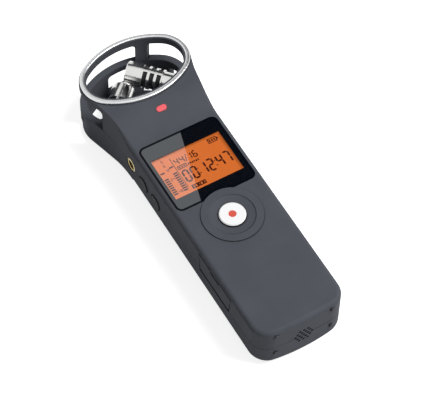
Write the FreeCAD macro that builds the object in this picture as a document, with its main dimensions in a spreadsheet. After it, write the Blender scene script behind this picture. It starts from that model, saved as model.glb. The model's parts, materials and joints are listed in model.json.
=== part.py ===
import FreeCAD, Part
import Sketcher
import math
import os
import re
from FreeCAD import Matrix, Placement, Rotation, Vector

# Handheld voice recorder, millimetres.
# Layout frame used by every size below: X to the right when the face is read, Y from the bottom end
# towards the microphone head, Z up out of the face, with Z = 0 on the flat of the face.
# The finished model lies on its back: origin under the middle of its length, lowest point at Z = 0.

doc = FreeCAD.newDocument("voice_recorder")
sheet = doc.addObject("Spreadsheet::Sheet", "Sizes")

SIZES = [
    # housing
    ("overall_l", 136, "bottom end to the tip of the head"),
    ("body_w", 36, "width of the straight body"),
    ("body_deep", 21.2, "face to the crown of the back"),
    ("neck_l", 14.7, "length of the neck between the straight body and the head oval"),
    ("neck_wall", 1, "the room inside the body ends this far before the head oval"),
    ("end_corner", 7, "plan radius of the bottom corners"),
    ("end_bow", 190, "plan radius of the bottom end"),
    ("face_edge", 1.8, "radius round the face"),
    ("back_edge", 2.6, "radius round the back"),
    ("back_sag", 2.6, "rise of the crowned back from its middle to its edge"),
    ("head_w", 44, "width of the head oval"),
    ("head_l", 29.8, "length of the head oval"),
    ("head_deep", 26.5, "face to the floor of the head"),
    ("loft_dip", 0.05, "the neck's curve dips this far under the head's floor"),
    ("head_round", 5, "radius from the head's wall to its floor"),
    ("head_step", 0.9, "step of the back where the head starts"),
    ("wall", 1.6, "side, end and back walls"),
    ("face_wall", 2, "thickness of the face"),
    ("cage_wall", 2.6, "wall of the head cage"),
    ("split_deep", 10.2, "face to the parting line"),
    ("seam", 0.14, "open line between the two shells"),
    ("fit", 0.25, "gap round a piece that moves"),
    ("seat", 0.1, "gap round a piece that is glued or clipped in"),
    # head cage and rim
    ("rim_tilt", 2.4, "fall of the rim towards the tip, degrees"),
    ("rim_seat", 2.46, "rim seat above the face, at the middle of the oval"),
    ("rim_lap", 0.3, "the neck rises this far round the foot of the rim"),
    ("rim_in", 0.3, "silver rim, in from the outside of the head"),
    ("rim_lip", 1.1, "lip of the cage inside the silver rim, above the rim seat"),
    ("rim_t", 1.36, "height of the silver rim"),
    ("rim_w", 1.8, "width of the silver rim"),
    ("rim_soft", 0.6, "rounded edges of the silver rim"),
    ("hoop_t", 2.2, "hoop under the rim"),
    ("post_from", 54.7, "oval angle where the cage post starts"),
    ("post_to", 70, "oval angle where the cage post ends"),
    ("window_left", 218, "oval angle where the left window ends"),
    ("window_right", 347, "oval angle where the right window starts"),
    ("window_round", 1.4, "corner radius of the cage windows"),
    ("low_top", 13, "face to the top of the lower tip window"),
    ("low_bottom", 23.1, "face to the bottom of the lower tip window"),
    ("low_from", 73, "oval angle of the lower tip window, start"),
    ("low_to", 107, "oval angle of the lower tip window, end"),
    ("side_low_top", 14, "face to the top of the lower side windows"),
    ("side_low_bottom", 23.8, "face to the bottom of the lower side windows"),
    ("side_low_from", 155, "oval angle of the lower left window, start"),
    ("side_low_to", 194, "oval angle of the lower left window, end"),
    ("floor_from", 122, "oval angle of the left floor window, start"),
    ("floor_to", 158, "oval angle of the left floor window, end"),
    ("floor_in", 0.6, "inner edge of the floor windows, share of the oval"),
    ("floor_out", 0.86, "outer edge of the floor windows, share of the oval"),
    # display
    ("glass_w", 32.4, "display window width"),
    ("glass_from", 59.6, "bottom edge of the display window"),
    ("glass_to", 90.5, "top edge of the display window"),
    ("glass_t", 1, "display window thickness"),
    ("glass_round", 2.5, "display window corner radius"),
    ("lcd_w", 30, "display panel width"),
    ("lcd_from", 64.6, "bottom edge of the display panel"),
    ("lcd_to", 84.9, "top edge of the display panel"),
    ("lcd_t", 1.6, "display panel thickness"),
    ("light_t", 0.7, "backlight plate thickness"),
    ("led_back", 5.1, "recording light, before the head oval"),
    ("led_l", 4.0, "recording light length"),
    ("led_w", 2.0, "recording light width"),
    ("led_up", 0.2, "top of the recording light above the surface round it"),
    # record button
    ("record_at", 49.7, "record button, from the bottom end"),
    ("record_d", 9.9, "record button diameter"),
    ("record_up", 0.55, "record button above the face"),
    ("record_dot_d", 2.9, "diameter of the mark on the record button"),
    ("mark_t", 0.3, "thickness of the mark on the record button"),
    ("flange_t", 0.5, "thickness of the flange that keeps a button in"),
    ("flange_w", 0.7, "width of that flange"),
    ("flange_gap", 0.15, "flange to the wall that stops it"),
    ("face_pocket", 0.65, "pocket behind the face for the record button flange"),
    ("button_chamfer", 0.3, "chamfer round the buttons"),
    ("press", 0.4, "travel of every button"),
    ("ridge_d", 22.7, "outside diameter of the ridge round the record button"),
    ("ridge_up", 0.35, "height of that ridge"),
    ("dish_d", 17.1, "diameter of the dish inside the ridge"),
    ("dish_deep", 1, "depth of the dish below the ridge"),
    ("dial_d", 23.4, "round notch in the display window, about the record button"),
    # boards and switches
    ("board_deep", 3.6, "face to the main board"),
    ("board_t", 0.9, "main board thickness"),
    ("board_from", 3, "bottom edge of the main board"),
    ("board_back", 3.6, "top edge of the main board, before the head oval"),
    ("board_corner", 3, "cut corners of the main board"),
    ("side_board_t", 0.8, "side board thickness"),
    ("side_board_in", 4.6, "side board, in from the side of the body"),
    ("switch_t", 0.7, "body of a push switch"),
    ("switch_l", 3.6, "side length of a push switch"),
    ("plunger_d", 1.6, "push switch plunger diameter"),
    ("plunger_t", 0.4, "push switch plunger height"),
    # side controls
    ("control_deep", 10.4, "face to the line of the side controls"),
    ("button_up", 0.35, "side buttons stand out of the side"),
    ("round_button_d", 6.2, "volume and level button diameter"),
    ("small_button_d", 4.2, "rewind, forward and delete button diameter"),
    ("play_button_d", 5.6, "play button diameter"),
    ("jack_at", 92, "both sockets, from the bottom end"),
    ("jack_deep", 9.8, "face to the socket axis"),
    ("jack_ring_d", 6, "socket ring diameter"),
    ("jack_bore_d", 3.6, "socket bore diameter"),
    ("jack_l", 12, "socket length"),
    ("jack_w", 6.4, "socket body width"),
    ("leg_w", 0.8, "socket leg width"),
    ("up_at", 82.6, "volume up and level up, from the bottom end"),
    ("down_at", 73.6, "volume down and level down, from the bottom end"),
    ("usb_at", 65.4, "data socket, from the bottom end"),
    ("usb_w", 7.7, "data socket width"),
    ("usb_t", 3.9, "data socket height"),
    ("usb_l", 8.6, "data socket depth"),
    ("usb_wall", 0.35, "data socket metal thickness"),
    ("rewind_at", 55.5, "rewind button, from the bottom end"),
    ("play_at", 48.5, "play button, from the bottom end"),
    ("forward_at", 41.5, "forward button, from the bottom end"),
    ("delete_at", 33, "delete button, from the bottom end"),
    ("power_at", 20, "power slider, from the bottom end"),
    ("power_l", 5.4, "power slider length"),
    ("power_w", 2.8, "power slider width"),
    ("power_travel", 2, "power slider travel each way"),
    # card slot
    ("card_at", 31.3, "card slot, from the bottom end"),
    ("card_w", 11, "card width"),
    ("card_l", 15, "card length"),
    ("card_t", 0.7, "card thickness"),
    ("card_deep", 5.6, "face to the middle of the card"),
    ("card_in", 2.1, "outer end of the card, in from the side"),
    ("card_push", 0.8, "travel that releases the card"),
    ("socket_t", 1.7, "card socket thickness"),
    ("cover_top", 2, "face to the hinged edge of the card cover"),
    ("cover_bottom", 9.9, "face to the free edge of the card cover"),
    ("cover_l", 22, "length of the card cover"),
    ("cover_slope", 1, "run of the card cover's sloping ends"),
    ("cover_t", 1.2, "card cover thickness"),
    ("cover_pad", 1.4, "thicker side wall behind the card cover"),
    ("pin_fit", 0.05, "running gap round a hinge pin"),
    ("groove_w", 1.2, "nail groove along the card cover"),
    ("card_pin_in", 0.65, "card cover hinge pin, in from the side"),
    ("card_pin_d", 0.7, "card cover hinge pin"),
    # battery
    ("battery_d", 14.5, "one AA cell"),
    ("battery_l", 49.2, "AA cell without its button"),
    ("nub_d", 5.5, "button of the AA cell"),
    ("nub_t", 1.3, "height of that button"),
    ("battery_x", 4.6, "AA cell to the right of the middle"),
    ("battery_from", 8.9, "flat end of the AA cell"),
    ("contact_t", 0.4, "battery contact thickness"),
    ("spring_l", 1.2, "pressed length of the battery spring"),
    ("battery_back", 0.4, "AA cell to its cover"),
    ("cover_w", 27, "battery cover width"),
    ("cover_from", 8.2, "lower edge of the battery cover"),
    ("hinge_at", 62.4, "battery cover hinge"),
    ("hinge_deep", 20.2, "face to the battery cover hinge"),
    ("knuckle_d", 1.8, "battery cover knuckle diameter"),
    ("lid_pin_d", 0.9, "battery cover hinge pin"),
    ("knuckle_w", 3, "width of one battery cover knuckle"),
    ("lug_w", 3.6, "width of the shell's hinge lug"),
    # back of the body
    ("tripod_at", 72, "tripod thread, from the bottom end"),
    ("tripod_bore_d", 5.2, "tripod thread, inside diameter"),
    ("tripod_l", 7.5, "tripod thread length"),
    ("tripod_d", 9.5, "tripod insert diameter"),
    ("boss_t", 1.4, "wall of the boss round the insert"),
    ("slide_at", 85.5, "slide switches, from the bottom end"),
    ("slide_pitch", 6, "spacing of the slide switches"),
    ("slide_slot_l", 4.6, "slot of a slide switch"),
    ("slide_slot_w", 2.4, "width of that slot"),
    ("slide_travel", 1.8, "travel of a slide switch"),
    ("slide_under", 0.6, "slide knob below the back surface"),
    # speaker and end
    ("speaker_d", 13, "speaker diameter"),
    ("speaker_t", 3, "speaker thickness"),
    ("gasket_t", 0.6, "speaker gasket thickness"),
    ("grille_deep", 10, "face to the middle of the speaker grille"),
    ("grille_hole_d", 1.1, "grille hole diameter"),
    ("grille_pitch", 1.7, "spacing of the grille holes"),
    ("foot_x", 11.3, "end feet, out from the middle"),
    ("foot_high", 2.45, "face to the upper end feet"),
    ("foot_low", 13.4, "face to the lower end feet"),
    ("foot_d", 1.5, "end foot diameter"),
    ("foot_up", 0.35, "end foot height"),
    # screws
    ("screw_x", 12.6, "case screws, out from the middle"),
    ("screw_low", 5.2, "lower case screws, from the bottom end"),
    ("screw_ahead", 7.6, "upper case screws, ahead of the two sockets"),
    ("screw_d", 1.9, "case screw diameter"),
    ("screw_head_d", 3.4, "case screw head diameter"),
    ("screw_head_t", 1.2, "case screw head height"),
    ("screw_post_d", 4.4, "posts that the screws pull together"),
    ("rib_t", 0.9, "ribs that close the battery bay"),
    ("screw_sink", 14.5, "face to the shoulder under a screw head"),
    # microphones
    ("mic_d", 9, "microphone barrel diameter"),
    ("mic_turn", 43.3, "each microphone's turn from straight ahead, degrees"),
    ("mic_back", 6.1, "where the two microphone axes cross, behind the tip of the head"),
    ("mic_front", 1.15, "front of a microphone behind that crossing"),
    ("mic_head_l", 6.2, "length of the plain head of a microphone"),
    ("mic_slot_pitch", 2.7, "spacing of the slots in a microphone sleeve"),
    ("mic_slot_w", 1.7, "width of those slots"),
    ("mic_tail_d", 7.8, "tail diameter"),
    ("mic_tail_l", 4.6, "tail length"),
    ("mic_wall", 0.6, "thickness of the microphone metal"),
    ("mic_slot_l", 5.5, "length of those slots"),
    ("mic_slot_turn", 49, "turn of those slots about the microphone, degrees"),
    ("mesh_t", 0.6, "thickness of a microphone grille"),
    ("mic_high", 8.8, "face to the upper microphone axis"),
    ("mic_low", 18.4, "face to the lower microphone axis"),
    ("grommet_d", 4.4, "rubber mount behind a microphone"),
]
NAMES = {name for name, value, note in SIZES}

for row, (name, value, note) in enumerate(SIZES, start=1):
    sheet.set(f"A{row}", name)
    sheet.set(f"B{row}", str(value))
    sheet.set(f"C{row}", note)
    sheet.setAlias(f"B{row}", name)
doc.recompute()


# ---------------------------------------------------------------- helpers

def mm(name):
    """A size from the sheet, as a number."""
    return float(sheet.get(name))


def cells(text):
    """Turn the size names in an expression into references to the sheet."""
    return re.sub(r"[a-z][a-z_]+", lambda m: f"Sizes.{m[0]}" if m[0] in NAMES else m[0], str(text))


def solve(text):
    """The value of an expression of sheet sizes."""
    return float(sheet.evalExpression(cells(text)))


def bind(thing, **sizes):
    for prop, text in sizes.items():
        thing.setExpression(prop, cells(text))


def place(thing, x, y, z):
    """Put a thing at a point of the layout frame."""
    thing.setExpression("Placement.Base.x", cells(x))
    thing.setExpression("Placement.Base.y", cells(f"{y} - (overall_l - foot_up) / 2"))
    thing.setExpression("Placement.Base.z", cells(f"{z} + head_deep + loft_dip"))
    return thing


def turn_to(thing, direction):
    """Turn a thing so that its own Z axis points along a direction."""
    thing.Placement = Placement(Vector(), Rotation(Vector(0, 0, 1), Vector(*direction)))


def box(name, x, y, z):
    """A box from its low and high edges along X, Y and Z."""
    made = doc.addObject("Part::Box", name)
    bind(made, Length=f"({x[1]}) - ({x[0]})", Width=f"({y[1]}) - ({y[0]})", Height=f"({z[1]}) - ({z[0]})")
    return place(made, x[0], y[0], z[0])


def rod(name, direction, diameter, length, x, y, z):
    """A cylinder that starts at a point and runs along a direction."""
    made = doc.addObject("Part::Cylinder", name)
    turn_to(made, direction)
    bind(made, Radius=f"({diameter}) / 2", Height=length)
    return place(made, x, y, z)


def fuse(name, *parts):
    made = doc.addObject("Part::MultiFuse", name)
    made.Shapes = list(parts)
    return made


def cut(name, base, *tools):
    """Take tools away from a base one after another, so that tools may overlap each other."""
    for number, tool in enumerate(tools, start=1):
        made = doc.addObject("Part::Cut", name if number == len(tools) else f"{name}_{number}")
        made.Base = base
        made.Tool = tool
        base = made
    return base


def common(name, *parts):
    made = doc.addObject("Part::MultiCommon", name)
    made.Shapes = list(parts)
    return made


def group(name, *parts):
    """Several separate solids that share one node."""
    made = doc.addObject("Part::Compound", name)
    made.Links = list(parts)
    return made


def form(name, shape):
    """A free form made with Part functions in the layout frame."""
    made = doc.addObject("Part::Feature", name)
    made.Shape = shape
    return place(made, "0", "0", "0")


def polygon(body, role, points):
    """A closed sketch whose corners are held at (across, up) expressions."""
    plane = next(item for item in body.Origin.OriginFeatures if item.Role == role)
    sketch = body.newObject("Sketcher::SketchObject", body.Name + "_sketch")
    sketch.AttachmentSupport = [(plane, "")]
    sketch.MapMode = "FlatFace"
    corners = [(solve(across), solve(up)) for across, up in points]
    for start, end in zip(corners, corners[1:] + corners[:1]):
        sketch.addGeometry(Part.LineSegment(Vector(*start, 0), Vector(*end, 0)), False)
    for edge in range(len(points)):
        sketch.addConstraint(Sketcher.Constraint("Coincident", edge, 2, (edge + 1) % len(points), 1))
    for edge, corner in enumerate(corners):
        for kind, value, text in zip(("DistanceX", "DistanceY"), corner, points[edge]):
            held = sketch.addConstraint(Sketcher.Constraint(kind, -1, 1, edge, 1, value))
            sketch.setExpression(f"Constraints[{held}]", cells(text))
    return sketch


def pad(body, role, points, length, reverse=False):
    sketch = polygon(body, role, points)
    made = body.newObject("PartDesign::Pad", body.Name + "_pad")
    made.Profile = sketch
    made.Reversed = reverse
    bind(made, Length=length)
    return made


def pierce(body, role, points, turn):
    """Cut an outline right through a body, both ways from a plane turned about the body's Z axis."""
    made = body.newObject("PartDesign::Pocket", body.Name + "_pocket")
    made.Profile = polygon(body, role, points)
    made.Profile[0].AttachmentOffset = Placement(Vector(), Rotation(Vector(0, 1, 0), turn))
    made.Type = 1
    made.Midplane = True


def turned(name, direction, x, y, z, profile):
    """A body turned about its own Z axis from a half profile of (radius, height) corners."""
    body = doc.addObject("PartDesign::Body", name)
    turn_to(body, direction)
    place(body, x, y, z)
    sketch = polygon(body, "XZ_Plane", profile)
    made = body.newObject("PartDesign::Revolution", name + "_turn")
    made.Profile = sketch
    made.ReferenceAxis = (sketch, ["V_Axis"])
    made.Angle = 360
    return body


def plate(name, points, low, high):
    """A flat body: an outline of (x, y) corners padded from one height to another."""
    body = doc.addObject("PartDesign::Body", name)
    place(body, "0", "0", low)
    pad(body, "XY_Plane", points, f"({high}) - ({low})")
    return body


def rectangle(x, y):
    return [(x[0], y[0]), (x[1], y[0]), (x[1], y[1]), (x[0], y[1])]


def span(middle, size):
    """Low and high edges about a middle."""
    return (f"{middle} - ({size}) / 2", f"{middle} + ({size}) / 2")


UP, DOWN, LEFT, RIGHT, AHEAD, BACK = (0, 0, 1), (0, 0, -1), (-1, 0, 0), (1, 0, 0), (0, 1, 0), (0, -1, 0)


# ---------------------------------------------------------------- housing form

HEAD = "(overall_l - head_l)"
BODY_L = solve(f"{HEAD} - neck_l")
ROOM_L = solve(f"{HEAD} - neck_wall")
OVAL_X, OVAL_Y = mm("head_w") / 2, mm("head_l") / 2
OVAL_AT = mm("overall_l") - OVAL_Y
OVAL_TURN = math.radians(56)     # where the oval's tight end arcs meet its long arcs
FLARE_TURN = math.radians(20)    # where the flared side meets the oval's end arc
RIM_FALL = math.tan(math.radians(mm("rim_tilt")))
FAR = 60
FLAT = 0.05                # sag of a back that is all but flat


def ease(value, start, end):
    """0 before start, 1 after end, and a smooth rise between them."""
    share = min(max((value - start) / (end - start), 0), 1)
    return share * share * (3 - 2 * share)


def mix(low, high, share):
    return low + (high - low) * share


def rim_height(y):
    """Height of the rim's seat."""
    return mm("rim_seat") - RIM_FALL * (y - OVAL_AT)


def oval_point(degrees, scale=1):
    """A point at an angle of the head's oval, or of one drawn to a scale of it."""
    angle = math.radians(degrees)
    return Vector(OVAL_X * scale * math.cos(angle), OVAL_AT + OVAL_Y * scale * math.sin(angle), 0)


def oval_arcs(grow=0):
    """Centre offset and radius of the end arcs, then of the long arcs, of the four-centre oval."""
    aside = (OVAL_X - OVAL_Y) / (1 + math.tan(OVAL_TURN) - 1 / math.cos(OVAL_TURN))
    down = aside * math.tan(OVAL_TURN)
    return aside, OVAL_X + grow - aside, down, OVAL_Y + grow + down


def oval_wire(grow=0):
    """The head's oval, or one parallel to it, about the middle of the head."""
    aside, end_r, down, long_r = oval_arcs(grow)
    join_x, join_y = aside + end_r * math.cos(OVAL_TURN), end_r * math.sin(OVAL_TURN)
    right, left = Vector(aside + end_r, 0, 0), Vector(-aside - end_r, 0, 0)
    tip, near = Vector(0, long_r - down, 0), Vector(0, down - long_r, 0)
    corners = [Vector(x * join_x, y * join_y, 0) for x, y in ((1, -1), (1, 1), (-1, 1), (-1, -1))]
    edges = [Part.Arc(corners[0], right, corners[1]), Part.Arc(corners[1], tip, corners[2]),
             Part.Arc(corners[2], left, corners[3]), Part.Arc(corners[3], near, corners[0])]
    return Part.Wire([edge.toShape() for edge in edges])


def flare():
    """Start, join and radius of the arc that flares each side out to the oval."""
    aside, end_r, _, _ = oval_arcs()
    radius = (aside + end_r * math.cos(FLARE_TURN) - mm("body_w") / 2) / (1 - math.cos(FLARE_TURN))
    join = OVAL_AT - end_r * math.sin(FLARE_TURN)
    return join - radius * math.sin(FLARE_TURN), join, radius


FLARE_START, FLARE_END, FLARE_R = flare()


def half_width(y):
    """Half the width of the straight body, the flare or the oval's end arc."""
    if y <= FLARE_START:
        return mm("body_w") / 2
    if y <= FLARE_END:
        return mm("body_w") / 2 + FLARE_R - math.sqrt(FLARE_R ** 2 - (y - FLARE_START) ** 2)
    aside, end_r, _, _ = oval_arcs()
    return aside + math.sqrt(end_r ** 2 - (y - OVAL_AT) ** 2)


def half_section(half, top, crown, sag, back_r, front_r):
    """Edges of the right half of a cross-section, from the middle of its top to the middle of its back."""
    big = (half ** 2 + sag ** 2) / (2 * sag)
    middle = crown + big
    across = half - back_r
    down = middle - math.sqrt((big - back_r) ** 2 - across ** 2)
    reach = big / (big - back_r)
    touch = Vector(across * reach, 0, middle + (down - middle) * reach)
    turn = math.atan2(touch.z - down, touch.x - across) / 2
    slope = math.atan2(touch.z - middle, touch.x)
    bend = (slope - math.pi / 2) / 2
    corner = Vector(across + back_r * math.cos(turn), 0, down + back_r * math.sin(turn))
    edge = front_r * (1 - math.sqrt(0.5))
    back_mid = Vector(big * math.cos(bend), 0, middle + big * math.sin(bend))
    return [
        Part.LineSegment(Vector(0, 0, top), Vector(half - front_r, 0, top)),
        Part.Arc(Vector(half - front_r, 0, top), Vector(half - edge, 0, top - edge), Vector(half, 0, top - front_r)),
        Part.LineSegment(Vector(half, 0, top - front_r), Vector(half, 0, down)),
        Part.Arc(Vector(half, 0, down), corner, touch),
        Part.Arc(touch, back_mid, Vector(0, 0, crown)),
    ]


def section(y, *sizes):
    """A closed cross-section at a distance from the bottom end."""
    right = [curve.toShape() for curve in half_section(*sizes)]
    left = [edge.mirror(Vector(), Vector(1, 0, 0)) for edge in reversed(right)]
    wire = Part.Wire(Part.__sortEdges__(right + left))
    wire.translate(Vector(0, y, 0))
    return wire


def neck_section(y):
    """The cross-section where the body swells into the head."""
    near = OVAL_AT - OVAL_Y
    swell = ease(y, BODY_L, OVAL_AT - OVAL_Y / 2)
    rise = ease(y, BODY_L, near)
    return section(
        y, half_width(y), (rim_height(max(y, near)) + mm("rim_lap")) * rise,
        -mix(mm("body_deep") + mm("head_step"), mm("head_deep"), swell), mix(mm("back_sag"), FLAT, swell),
        mix(mm("back_edge"), mm("head_round"), ease(y, BODY_L, OVAL_AT)), mix(mm("face_edge"), 0.2, rise))


def end_outline(inset):
    """Plan of the straight body: bowed bottom end, round corners, open-ended sides."""
    half = mm("body_w") / 2 - inset
    corner = mm("end_corner") - inset
    bow = mm("end_bow") - inset
    centre = mm("end_bow")
    across = half - corner
    up = centre - math.sqrt((bow - corner) ** 2 - across ** 2)
    reach = bow / (bow - corner)
    touch = Vector(across * reach, centre + (up - centre) * reach, 0)
    turn = math.atan2(touch.y - up, touch.x - across) / 2
    bend = Vector(across + corner * math.cos(turn), up + corner * math.sin(turn), 0)
    flip = lambda point: Vector(-point.x, point.y, 0)
    side, far = Vector(half, up, 0), Vector(half, FAR * 2, 0)
    edges = [
        Part.LineSegment(far, side), Part.Arc(side, bend, touch),
        Part.Arc(touch, Vector(0, inset, 0), flip(touch)), Part.Arc(flip(touch), flip(bend), flip(side)),
        Part.LineSegment(flip(side), flip(far)), Part.LineSegment(flip(far), far),
    ]
    return Part.Face(Part.Wire([edge.toShape() for edge in edges]))


def body_block(inset, top, length):
    """The straight body, or with an inset the room inside it."""
    half = mm("body_w") / 2
    big = (half ** 2 + mm("back_sag") ** 2) / (2 * mm("back_sag"))
    centre = big - mm("body_deep")
    drum = Part.makeCylinder(big - inset, length, Vector(0, 0, centre), Vector(0, 1, 0))
    plan = end_outline(inset).extrude(Vector(0, 0, FAR))
    plan.translate(Vector(0, 0, top - FAR))
    return drum.common(plan)


def rounded_block():
    """The straight body with the edges round its face and back rounded."""
    block = body_block(0, 0, BODY_L)
    end = BODY_L

    def rim(edge, high):
        low_z, high_z = edge.BoundBox.ZMin, edge.BoundBox.ZMax
        whole = edge.BoundBox.YMin > end - 0.01
        upright = high_z - low_z > mm("body_deep") / 2
        return not whole and not upright and (low_z > -0.01) == high

    block = block.makeFillet(mm("face_edge"), [edge for edge in block.Edges if rim(edge, True)])
    back = [edge for edge in block.Edges if rim(edge, False) and edge.BoundBox.ZMax < -mm("body_deep") / 2]
    return block.makeFillet(mm("back_edge"), back)


def oval_bowl(grow, top, floor, round_r):
    """An oval bowl: upright wall, then a rounded turn on to a flat floor."""
    made = Part.Face(oval_wire(grow)).extrude(Vector(0, 0, top - floor))
    made.translate(Vector(0, OVAL_AT, floor))
    return made.makeFillet(round_r, [edge for edge in made.Edges if edge.BoundBox.ZMax < floor + 0.01])


def under_rim(shape, drop):
    """Keep what lies more than a drop below the rim's seat."""
    cover = Part.makeBox(2 * FAR, 2 * FAR, FAR, Vector(-FAR, -FAR, 0))
    cover.rotate(Vector(), Vector(1, 0, 0), -mm("rim_tilt"))
    cover.translate(Vector(0, OVAL_AT, mm("rim_seat") - drop))
    return shape.cut(cover)


def tilted_oval(grow, low, high):
    """An oval prism square to the rim's seat, between two heights above it."""
    made = Part.Face(oval_wire(grow)).extrude(Vector(0, 0, high - low))
    made.translate(Vector(0, 0, low))
    made.rotate(Vector(), Vector(1, 0, 0), -mm("rim_tilt"))
    made.translate(Vector(0, OVAL_AT, mm("rim_seat")))
    return made


def outer_form():
    """Body, neck and head with the seat of the silver rim cut in and the cage's inner lip standing up."""
    shares = (0, 0.12, 0.36, 0.47, 0.58, 0.72, 1)
    stations = [FLARE_START, FLARE_END, *(mix(BODY_L, OVAL_AT, share) for share in shares)]
    neck = Part.makeLoft([neck_section(y) for y in sorted(stations)], True, False)
    bowl = under_rim(oval_bowl(0, FAR, -mm("head_deep"), mm("head_round")), -mm("rim_lap"))
    tip = bowl.common(Part.makeBox(2 * FAR, FAR, 2 * FAR, Vector(-FAR, OVAL_AT, -FAR)))
    whole = rounded_block().fuse([neck, tip]).removeSplitter()
    lip = tilted_oval(-mm("rim_in") - mm("rim_w"), -mm("hoop_t") / 4, mm("rim_lip"))
    return whole.cut(tilted_oval(-mm("rim_in"), 0, FAR)).fuse(lip)


def floor_window(start, end):
    """A curved opening through the floor of the head between two oval angles."""
    steps = 3
    angles = [mix(start, end, i / steps) for i in range(steps + 1)]
    rim = [oval_point(angle, mm("floor_out")) for angle in angles]
    rim += [oval_point(angle, mm("floor_in")) for angle in reversed(angles)]
    made = Part.Face(Part.makePolygon([*rim, rim[0]])).extrude(Vector(0, 0, FAR / 6))
    made.translate(Vector(0, 0, -mm("head_deep") - 1))
    made = made.cut(Part.makeBox(2 * FAR, 4 * FAR, FAR, Vector(-FAR, -FAR, mm("cage_wall") - mm("head_deep") + 0.5)))
    corners = [rim[0], rim[steps], rim[steps + 1], rim[-1]]
    upright = [edge for edge in made.Edges if edge.BoundBox.ZLength > 1
               and any(abs(edge.CenterOfMass.x - p.x) + abs(edge.CenterOfMass.y - p.y) < 0.01 for p in corners)]
    return made.makeFillet(mm("window_round") / 2, upright)


def window(start, end, low, high=None):
    """A sector of the cage between two oval angles, with rounded corners where it isn't open."""
    steps = max(2, math.ceil((end - start) / 15))
    rays = [oval_point(mix(start, end, i / steps), 1.6) for i in range(steps + 1)]
    hub = Vector(0, OVAL_AT, 0)
    face = Part.Face(Part.makePolygon([hub, *rays, hub]))
    made = face.extrude(Vector(0, 0, FAR))
    made.translate(Vector(0, 0, low))
    made = under_rim(made, mm("hoop_t")) if high is None else made.cut(
        Part.makeBox(2 * FAR, 4 * FAR, 2 * FAR, Vector(-FAR, -FAR, high)))

    def corner(edge):
        near = min(vertex.Point.distanceToLine(hub, Vector(0, 0, 1)) for vertex in edge.Vertexes)
        flat = abs(edge.BoundBox.ZMin - low) > 0.01 or high is not None
        level = edge.BoundBox.ZLength < 0.5 * edge.Length
        return near < 0.01 and level and flat

    return made.makeFillet(mm("window_round"), [edge for edge in made.Edges if corner(edge)])


# ---------------------------------------------------------------- housing

outer = form("outer_form", outer_form())
room = form("body_room", body_block(mm("wall"), -mm("face_wall"), ROOM_L))
well = form("mic_well", oval_bowl(-mm("cage_wall"), FAR / 4, mm("cage_wall") - mm("head_deep"),
                                  mm("head_round") - mm("cage_wall")))

SIDE = "body_w / 2"
INNER = "(body_w / 2 - wall)"
BOARD_BACK = "(-board_deep - board_t)"
CARD_AXIS = f"-({SIDE} - card_pin_in)"
CARD_HINGE = "(-cover_top - card_pin_in)"
LID_HINGE = "-hinge_deep"
CELL_DEEP = "(-body_deep + wall + battery_back + battery_d / 2)"
CONTROL = "-control_deep"
SPLIT = "-split_deep"
SCREWS = [(side, y) for side in (-1, 1) for y in ("screw_low", "(jack_at + screw_ahead)")]
LED_AT = f"({HEAD} - led_back)"
SLIDES = {"low_cut": -1, "auto_level": 0, "format": 1}
LEFT_BUTTONS = {"volume_up": ("up_at", "round_button_d"), "volume_down": ("down_at", "round_button_d")}
RIGHT_BUTTONS = {
    "level_up": ("up_at", "round_button_d"), "level_down": ("down_at", "round_button_d"),
    "rewind": ("rewind_at", "small_button_d"), "play": ("play_at", "play_button_d"),
    "forward": ("forward_at", "small_button_d"), "delete": ("delete_at", "small_button_d"),
}


def front_mouldings():
    """Bosses for the screws and the thicker wall behind the card cover."""
    made = [rod(f"boss_{number}", UP, "screw_post_d", "board_deep", f"{side} * screw_x", y, "-board_deep")
            for number, (side, y) in enumerate(SCREWS)]
    made.append(card_pad("card_pad_high", (f"{SPLIT} + seam / 2", "-face_wall")))
    return made


def rear_mouldings():
    """Screw posts, the ribs of the battery bay, the boss round the insert and the switch board's posts."""
    made = [rod(f"post_{number}", DOWN, "screw_post_d", "head_deep", f"{side} * screw_x", y, BOARD_BACK)
            for number, (side, y) in enumerate(SCREWS)]
    made.append(card_pad("card_pad_low", ("-cover_bottom - groove_w - wall", f"{SPLIT} - seam / 2")))
    for name, y in (("bay_low", "battery_from - contact_t - spring_l - rib_t"),
                    ("bay_high", "battery_from + battery_l + nub_t + contact_t + seat")):
        made.append(box(name, (f"-{INNER} - seat", f"{INNER} + seat"), (y, f"{y} + rib_t"),
                        ("-body_deep", f"{SPLIT} - seam / 2")))
        made.append(box(name + "_top", (f"-{INNER} + fit", f"{INNER} - fit"), (y, f"{y} + rib_t"),
                        (f"{SPLIT} - seam / 2", f"{BOARD_BACK} - seat")))
    made.append(rod("tripod_boss", UP, "tripod_d + 2 * boss_t", "tripod_l", "0", "tripod_at", "-body_deep"))
    for side in (-1, 1):
        made.append(box(f"slide_post_{side + 1}", span(f"{side} * (1.5 * slide_pitch + wall)", "wall"),
                        span("slide_at", "slide_slot_l"), ("-body_deep - head_step", SLIDE_BOARD)))
    return made


def card_pad(name, z):
    return box(name, (f"-({INNER} + seat)", f"-({INNER} - cover_pad)"), span("card_at", "cover_l + 2 * wall"), z)


SLIDE_BOARD = "(-body_deep + wall + 2.9)"


def lid_lug():
    return [
        box("lid_lug_web", span("0", "lug_w"), ("hinge_at", "hinge_at + 2 * wall"), span(LID_HINGE, "knuckle_d")),
        rod("lid_lug", RIGHT, "knuckle_d", "lug_w", "-lug_w / 2", "hinge_at", LID_HINGE),
    ]


def card_lug():
    return [
        box("card_lug_web", (CARD_AXIS, f"-({SIDE} - cover_t - wall)"), span("card_at", "cover_l / 4"),
            span(CARD_HINGE, "2 * card_pin_in - seat")),
        rod("card_lug", AHEAD, "2 * card_pin_in - seat", "cover_l / 4", CARD_AXIS, "card_at - cover_l / 8", CARD_HINGE),
    ]


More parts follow.
